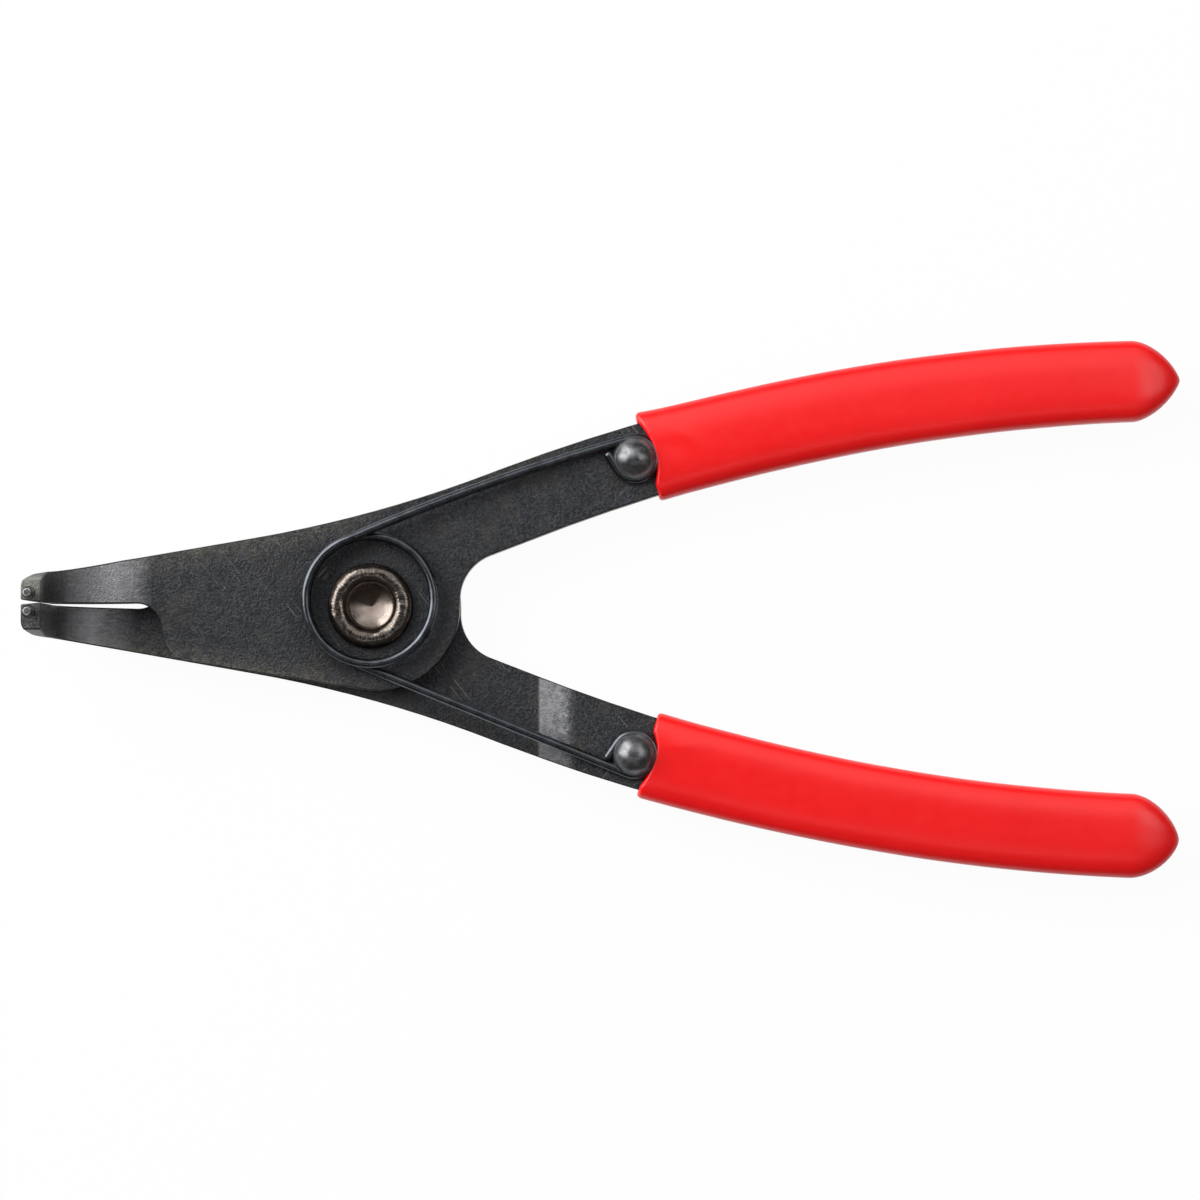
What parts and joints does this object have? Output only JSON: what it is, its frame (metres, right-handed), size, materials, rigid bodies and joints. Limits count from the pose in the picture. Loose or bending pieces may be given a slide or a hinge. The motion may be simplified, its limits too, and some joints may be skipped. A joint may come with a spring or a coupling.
{
  "type": "circlip pliers",
  "caption": "Hand pliers that spread external retaining rings: stamped steel halves on a rivet, tips bent up at a right angle, wire return spring and dipped vinyl grips.",
  "frame": {"origin": "on the pivot axis, on the flat land of the pivot rivet's back head", "axes": "+X from the tips to the handles, +Y to the upper half's handle, +Z along the pivot to the side that the tips are bent to"},
  "size_m": [0.1758, 0.0822, 0.0258],
  "materials": {
    "black_steel": "black oxide on stamped steel plate, worn at the edges",
    "rivet_steel": "browned steel with a bright drilled hollow",
    "spring_wire": "black drawn spring wire",
    "dome_steel": "dark oiled steel",
    "red_vinyl": "dipped soft vinyl, satin gloss",
    "pin_steel": "hardened steel, bare"
  },
  "bodies": {
    "lower_half": {"lower_plate": "black_steel", "lower_grip": "red_vinyl", "lower_spring_rivet": "dome_steel", "lower_tip_pin": "pin_steel", "pivot_rivet": "rivet_steel", "return_spring": "spring_wire"},
    "upper_half": {"upper_plate": "black_steel", "upper_grip": "red_vinyl", "upper_spring_rivet": "dome_steel", "upper_tip_pin": "pin_steel"}
  },
  "joints": [
    {"name": "pivot", "type": "hinge", "parent": "lower_half", "child": "upper_half", "pos_m": [0, 0, 0], "axis": [0, 0, -1], "range_deg": [0, 26], "stiffness_Nm_per_rad": 0.3, "springref_deg": -20.05, "deforming": ["return_spring"]}
  ]
}
